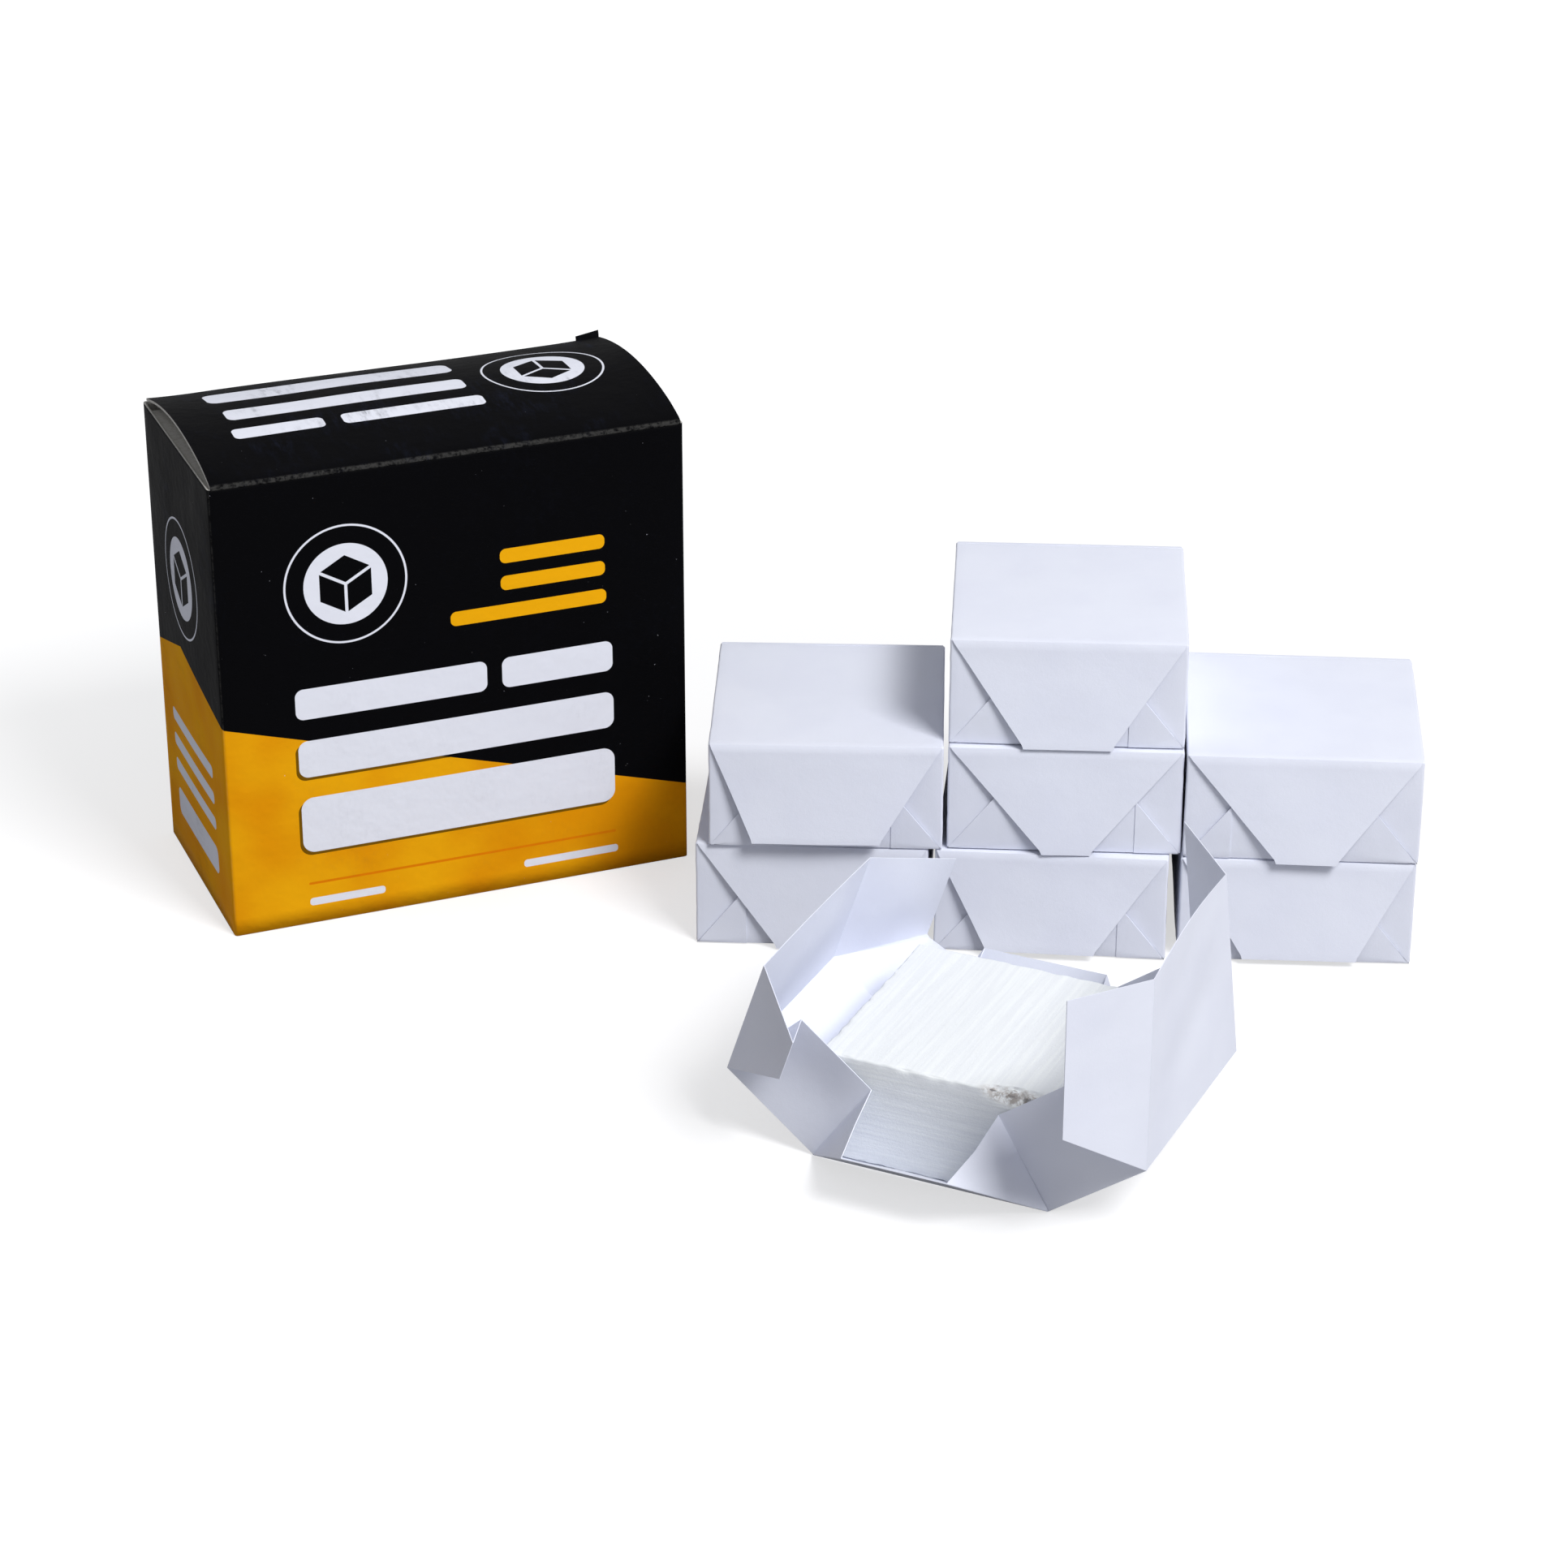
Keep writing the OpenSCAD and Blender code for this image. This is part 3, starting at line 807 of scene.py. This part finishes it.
def crumple(g, size, seed):
    """Softens a wrapped block's skin: slow swells on the faces and small creases near the corners."""
    w, d, h = size
    half = np.array([w / 2, d / 2, h / 2])
    off = half - np.abs(g - np.array([0, 0, h / 2]))
    near = np.sort(off, axis=2)
    corner = np.clip(1 - (near[..., 1] + near[..., 2] * 0.2) / 6, 0, 1)
    out = (g - np.array([0, 0, h / 2])) / half
    strong = np.abs(out) ** 12
    strong /= np.maximum(strong.sum(2, keepdims=True), 1e-9)
    push = wobble(g, 0.22, 0.05, seed) + wobble(g, 0.28, 0.45, seed + 9) * corner[..., None]
    moved = g + np.sign(out) * strong * (push - 0.12)
    moved[..., 2] = np.clip(moved[..., 2], 0.0, h + 0.05)
    return moved


def make_wrapped(name, facts):
    """One wrapped block: its skin, and the folds on both of its ends."""
    left, right, reach, stand, seam, seed = facts
    matrix, chalk_size = box_frame("chalk_" + name)
    matrix = matrix @ Matrix.Translation((0, 0, -WRAP_FLOOR))
    size = chalk_size + WRAP_EXTRA
    build = Build()
    for g in rounded_box(size, EDGE_R, 2.2):
        build.grid(crumple(g, size, seed))
    skin = build.make("wrapper_" + name + "_skin", matrix, [paper], None, sharp=60)
    weld(skin, 1e-5)
    folds = Build()
    end_folds(folds, size, left, right, reach, stand, seam, seed)
    start = len(folds.points)
    end_folds(folds, size, right, left, reach - 0.03, stand * 0.8, 1 - seam, seed + 40)
    folds.points[start:] = [(-x, -y, z) for x, y, z in folds.points[start:]]
    flaps = folds.make("wrapper_" + name + "_folds", matrix, [paper], None, sharp=50)
    for piece in (skin, flaps):
        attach(piece, "block_" + name)
    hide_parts("wrapper_" + name)
    repaint("chalk_" + name, chalk_paint)


for block_name, block_facts in BLOCKS.items():
    make_wrapped(block_name, block_facts)


# ---------------------------------------------------------------- opened block

# The opened block's size with its worn front, and the rounding of its edges, in mm
OPEN_CHALK = np.array([58.0, 58.8, 28.0])
CHALK_ROUND = 0.7


def make_open_chalk():
    """The opened block, with pressed layers, crumbled edges and its broken front edge."""
    middle = np.array([0, 0, OPEN_CHALK[2] / 2])
    build = Build()
    for g in rounded_box(OPEN_CHALK, CHALK_ROUND, 0.9):
        out = (g - middle) / (OPEN_CHALK / 2)
        strong = np.abs(out) ** 16
        strong /= np.maximum(strong.sum(2, keepdims=True), 1e-9)
        away = np.sign(out) * strong
        side = 1 - strong[..., 2:3]
        layers = wobble(g * np.array([0.08, 0.08, 2.6]), 0.07, 1.0, 3.0)
        fine = wobble(g, 0.03, 0.8, 8.0)
        brushed = wobble(g * np.array([1.2, 0.05, 1.0]), 0.02, 0.9, 6.0)
        off = np.sort(OPEN_CHALK / 2 - np.abs(g - middle), axis=2)
        edge = np.clip(1 - off[..., 1:2] / 1.6, 0, 1)
        crumbs = np.clip(wobble(g, 1.0, 0.33, 12.0) + 0.25, 0, 1) * edge ** 2 * 0.9
        crumbs += np.clip(wobble(g, 1.0, 1.3, 15.0), 0, 1) * edge * 0.45
        depth = np.linalg.norm((g - BITE_AT) / BITE_SIZE, axis=2, keepdims=True)
        rough = 0.8 + wobble(g, 0.9, 0.7, 21.0) + wobble(g, 0.6, 1.7, 23.0)
        bite = np.clip(1 - depth, 0, 1) ** 0.5 * 2.3 * rough
        moved = g + away * (side * layers + (1 - side) * brushed + fine - crumbs)
        moved += np.array([0.0, 0.75, -0.65]) * bite
        build.grid(moved)
    matrix = opened @ Matrix.Translation((0, 0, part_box("open_chalk")[0].z / MM))
    block = build.make("open_chalk_block", matrix, [chalk_paint], None, sharp=60)
    weld(block, 2e-5)
    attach(block, "loose_chalk")
    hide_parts("open_chalk")


make_open_chalk()

# The opened wrapper in its own frame, in mm: its end and side creases, its end flaps' length, its sheet
END_Y = floor_size[1] / 2 + 0.2
FLOOR_X = floor_size[0] / 2 + 0.2
END_LEN = 26.0
SHEET_T = 0.2

# Each end flap: its end, its name, its rise in degrees and how far its free corners are inset in mm
END_FLAPS = ((-1, "front", 35, 17.0), (1, "rear", 68, 14.0))
left_top = joint_place("left_flap_crease", opened)
right_top = joint_place("right_flap_crease", opened)


def unit(v):
    v = np.array(v, float)
    return v / np.linalg.norm(v)


class Side:
    """One side of the opened wrapper: its wall, its top flap and the end wings of both."""

    def __init__(self, name, sign, top, length, rise, wings):
        self.name, self.sign = name, sign
        self.foot = np.array([sign * FLOOR_X, 0, 0.25])
        self.top = np.array([top.x, 0, top.z])
        self.up = np.array([sign * math.cos(math.radians(rise)), 0, math.sin(math.radians(rise))])
        self.inward = np.array([-self.up[2] * sign, 0, self.up[0] * sign])
        wall = unit(self.top - self.foot)
        self.wall_in = np.array([-wall[2] * sign, 0, wall[0] * sign])
        self.length = length
        self.wings = wings

    def at(self, base, end):
        """A point of the crease line, at the front end (-1) or the rear end (1)."""
        return base + np.array([0, end * END_Y, 0])


def triangle(corner, a, b, bulge=0.0):
    """A three-cornered piece of paper, as a patch that starts 0.4 mm from its corner."""
    def beside(p):
        return corner + unit(p - corner) * 0.4
    build = Build()
    build.sheet(patch(beside(a), a, b, beside(b), bulge, 0, 1, 12), SHEET_T)
    return build


def make_side(side):
    """Builds one side's wall, flap and the folded triangles between them."""
    name, top, foot = side.name, side.top, side.foot
    flap_end = top + side.up * side.length
    wall_piece, flap_piece = Build(), Build()
    seed = 3.0 + side.sign

    wall_corners = side.at(foot, -1), side.at(top, -1), side.at(top, 1), side.at(foot, 1)
    wall_piece.sheet(patch(*wall_corners, 0.5 * side.sign, 0.5, seed), SHEET_T)
    free_front = side.at(flap_end, -1)
    free_rear = side.at(flap_end, 1) + np.array(side.wings["rear_shift"])
    flap_corners = side.at(top, -1), free_front, free_rear, side.at(top, 1)
    flap = patch(*flap_corners, side.wings["flap_bulge"], 0.7, seed + 1, 22)
    rise = np.linspace(0, 1, 22)[:, None]
    along = np.linspace(0, 1, 22)[None, :]
    flap += side.up * (side.wings["end_bow"] * np.sin(np.pi * along) * rise ** 3)[..., None]
    flap_piece.sheet(flap, SHEET_T)

    for end, place in ((-1, "front"), (1, "rear")):
        wing = side.wings[place]
        crease_low = side.at(top, end)
        crease_high = free_front if end < 0 else free_rear
        run = unit(crease_high - crease_low)
        out = np.array([0, end, 0.0])
        fold = math.radians(wing["fold"])
        reach = out * math.cos(fold) + side.inward * math.sin(fold)
        reach = unit(reach - run * np.dot(reach, run)) * wing["reach"]
        diagonal = crease_low + run * wing["inset"] + reach
        tip = crease_high + reach + run * wing["tip"]
        flap_wing = patch(crease_low, crease_high, tip, diagonal, wing["bulge"], 0.5, seed + 2 * end, 16)
        flap_piece.sheet(flap_wing, SHEET_T)

        base = side.at(foot, end)
        wall_run = unit(crease_low - base)
        wall_len = np.linalg.norm(crease_low - base)
        wall_reach = out * math.cos(math.radians(wing["wall_fold"]))
        wall_reach = (wall_reach + side.wall_in * math.sin(math.radians(wing["wall_fold"]))) * END_LEN
        low = base + wall_reach + wall_run * wing["low_shift"]
        high = base + wall_run * (wall_len + wing["high_shift"]) + wall_reach
        if "high" in wing:
            high = diagonal + np.array(wing["high"])
        wall_wing = patch(base, crease_low, high, low, wing["wall_bulge"], 0.4, seed + 5 * end, 14)
        wall_piece.sheet(wall_wing, SHEET_T)
        gusset = triangle(crease_low, high, diagonal, wing["gusset_bulge"])
        piece = gusset.make("open_{}_{}_gusset".format(name, place), opened, [paper], None)
        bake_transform(piece)
        side.wings[place]["low"] = low

    for build, part in ((wall_piece, "wall"), (flap_piece, "flap")):
        body = "{}_{}".format(name, part)
        piece = build.make("open_{}_paper".format(body), opened, [paper], body)
        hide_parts("open_" + body)


LEFT = Side("left", -1, left_top, 31.5, 108, {
    "flap_bulge": -0.8, "rear_shift": (0, 0, 0), "end_bow": 0.8,
    "front": dict(fold=45, reach=24.5, inset=17.5, tip=-3, bulge=0.8, wall_fold=90, low_shift=1.7,
                  high_shift=-4, wall_bulge=1.2, gusset_bulge=0.4),
    "rear": dict(fold=43, reach=24.0, inset=7.5, tip=0, bulge=-0.8, wall_fold=84, low_shift=1.7,
                 high_shift=-6, high=(0.5, 0.3, -1.2), wall_bulge=0.6, gusset_bulge=0),
})
RIGHT = Side("right", 1, right_top, 50.0, 90, {
    "flap_bulge": 0.9, "rear_shift": (-2.8, -6.0, 0), "end_bow": 2.0,
    "front": dict(fold=25, reach=27.0, inset=18.6, tip=4, bulge=-0.5, wall_fold=90, low_shift=2.5,
                  high_shift=-4, wall_bulge=1.6, gusset_bulge=-1.2),
    "rear": dict(fold=42, reach=26.0, inset=18.0, tip=0, bulge=0.5, wall_fold=86, low_shift=2.0,
                 high_shift=-4, wall_bulge=0.6, gusset_bulge=0.4),
})
for wrapper_side in (LEFT, RIGHT):
    make_side(wrapper_side)


def make_floor():
    """The wrapper's floor, its two end flaps and the triangles between those and the walls' wings."""
    floor = Build()
    around = [(sx * FLOOR_X, sy * END_Y, 0.2) for sx, sy in ((-1, -1), (1, -1), (1, 1), (-1, 1))]
    floor.sheet(patch(*around, 0, 0, 1, 6), SHEET_T)
    piece = floor.make("open_floor_paper", opened, [paper], "carton_and_floor")
    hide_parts("open_floor")
    for end, place, rise, inset in END_FLAPS:
        hinge = np.array([0, end * (END_Y + 0.3), 0.25])
        out = np.array([0, end * math.cos(math.radians(rise)), math.sin(math.radians(rise))]) * END_LEN
        corners = [hinge + (s * FLOOR_X, 0, 0) for s in (-1, 1)]
        tips = [hinge + (s * (FLOOR_X - inset), 0, 0) + out for s in (-1, 1)]
        flap = Build()
        flap.sheet(patch(corners[0], corners[1], tips[1], tips[0], 0.8 * end, 0.4, 7.0 + end, 16), SHEET_T)
        piece = flap.make("open_{}_flap_paper".format(place), opened, [paper], place + "_flap")
        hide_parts("open_{}_flap".format(place))
        for side, corner, tip in ((LEFT, corners[0], tips[0]), (RIGHT, corners[1], tips[1])):
            wing_tip = side.wings[place]["low"]
            fold = (wing_tip + tip) / 2 + (corner - (wing_tip + tip) / 2) * 0.03
            for part, far, other in (("low", tip, place + "_flap"), ("high", wing_tip, side.name + "_wall")):
                gusset = triangle(corner, fold, far)
                name = "open_{}_{}_corner_{}".format(place, side.name, part)
                piece = gusset.make(name, opened, [paper], None)
                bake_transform(piece)


make_floor()


# ---------------------------------------------------------------- floor, light and camera

# The studio floor's half side and height in m, its colour as the camera and as the light see it, and
# its glow: how far from the middle it starts and ends to grow, in m, and its strength there
STAGE_HALF = 6.0
STAGE_Z = -0.0001
FLOOR_SEEN = (0.44, 0.44, 0.445, 1)
FLOOR_UNSEEN = (0.38, 0.38, 0.39, 1)
FLOOR_GLOW = (0.15, 0.8, 0.62, 1.0)
SKY_COLOUR = (0.93, 0.95, 1.0, 1)
SKY_LIGHT = 0.34

# The key light and the camera: places in m, sizes in m, power in W, lens in mm, angles in degrees
KEY_PLACE = (0.60, -0.78, 1.20)
KEY_TARGET = (-0.03, -0.03, 0.04)
KEY_SIZE = 0.5
KEY_POWER = 20.5
CAMERA_PLACE = (-0.0067, -1.0148, 0.5319)
CAMERA_DOWN = 26.2
CAMERA_TURN = 3.67
CAMERA_LENS = 98.8


def camera_ray_mix(tree, seen, unseen):
    """Shader seen by the camera, in gloss and through glass, and the one that lights the object."""
    path = tree.nodes.new("ShaderNodeLightPath")
    any_ray = path.outputs["Is Camera Ray"]
    for other in ("Is Glossy Ray", "Is Transmission Ray"):
        most = tree.nodes.new("ShaderNodeMath")
        most.operation = "MAXIMUM"
        tree.links.new(any_ray, most.inputs[0])
        tree.links.new(path.outputs[other], most.inputs[1])
        any_ray = most.outputs[0]
    mix = tree.nodes.new("ShaderNodeMixShader")
    tree.links.new(any_ray, mix.inputs[0])
    tree.links.new(unseen, mix.inputs[1])
    tree.links.new(seen, mix.inputs[2])
    return mix.outputs[0]


def make_floor_stage():
    """A wide floor, white to the camera, which takes the object's soft shadow."""
    mesh = bpy.data.meshes.new("studio_floor")
    square = [(sx * STAGE_HALF, sy * STAGE_HALF, STAGE_Z) for sx, sy in ((-1, -1), (1, -1), (1, 1), (-1, 1))]
    mesh.from_pydata(square, [], [(0, 1, 2, 3)])
    floor = bpy.data.objects.new("studio_floor", mesh)
    bpy.context.collection.objects.link(floor)
    material = bpy.data.materials.new("studio_floor")
    material.use_nodes = True
    tree = material.node_tree
    tree.nodes.clear()
    seen, unseen = (tree.nodes.new("ShaderNodeBsdfDiffuse") for _ in range(2))
    seen.inputs["Color"].default_value = FLOOR_SEEN
    unseen.inputs["Color"].default_value = FLOOR_UNSEEN
    glow = tree.nodes.new("ShaderNodeEmission")
    away = tree.nodes.new("ShaderNodeVectorMath")
    away.operation = "LENGTH"
    tree.links.new(tree.nodes.new("ShaderNodeTexCoord").outputs["Object"], away.inputs[0])
    fade = tree.nodes.new("ShaderNodeMapRange")
    for socket, value in zip(("From Min", "From Max", "To Min", "To Max"), FLOOR_GLOW):
        fade.inputs[socket].default_value = value
    tree.links.new(away.outputs["Value"], fade.inputs["Value"])
    tree.links.new(fade.outputs[0], glow.inputs["Strength"])
    add = tree.nodes.new("ShaderNodeAddShader")
    tree.links.new(seen.outputs[0], add.inputs[0])
    tree.links.new(glow.outputs[0], add.inputs[1])
    out = tree.nodes.new("ShaderNodeOutputMaterial")
    tree.links.new(camera_ray_mix(tree, add.outputs[0], unseen.outputs[0]), out.inputs[0])
    mesh.materials.append(material)


def make_world():
    """A white background, and a softer, bluer sky that lights the object."""
    world = bpy.data.worlds.new("studio")
    bpy.context.scene.world = world
    world.use_nodes = True
    tree = world.node_tree
    tree.nodes.clear()
    white = tree.nodes.new("ShaderNodeBackground")
    white.inputs["Color"].default_value = (1, 1, 1, 1)
    white.inputs["Strength"].default_value = 1.0
    soft = tree.nodes.new("ShaderNodeBackground")
    soft.inputs["Color"].default_value = SKY_COLOUR
    soft.inputs["Strength"].default_value = SKY_LIGHT
    out = tree.nodes.new("ShaderNodeOutputWorld")
    tree.links.new(camera_ray_mix(tree, white.outputs[0], soft.outputs[0]), out.inputs[0])


def make_key_light():
    light = bpy.data.lights.new("key", "AREA")
    light.size = KEY_SIZE
    light.energy = KEY_POWER
    obj = bpy.data.objects.new("key", light)
    obj.location = KEY_PLACE
    obj.rotation_euler = (Vector(KEY_TARGET) - Vector(KEY_PLACE)).to_track_quat("-Z", "Y").to_euler()
    bpy.context.collection.objects.link(obj)


def make_camera():
    """The viewpoint: in front of the stack and above it, turned a little to the left."""
    data = bpy.data.cameras.new("camera")
    data.sensor_width = 36
    data.lens = CAMERA_LENS
    camera = bpy.data.objects.new("camera", data)
    camera.location = CAMERA_PLACE
    camera.rotation_euler = (math.radians(90 - CAMERA_DOWN), 0, math.radians(CAMERA_TURN))
    bpy.context.collection.objects.link(camera)
    bpy.context.scene.camera = camera


make_floor_stage()
make_world()
make_key_light()
make_camera()
bpy.context.scene.view_settings.view_transform = "Standard"
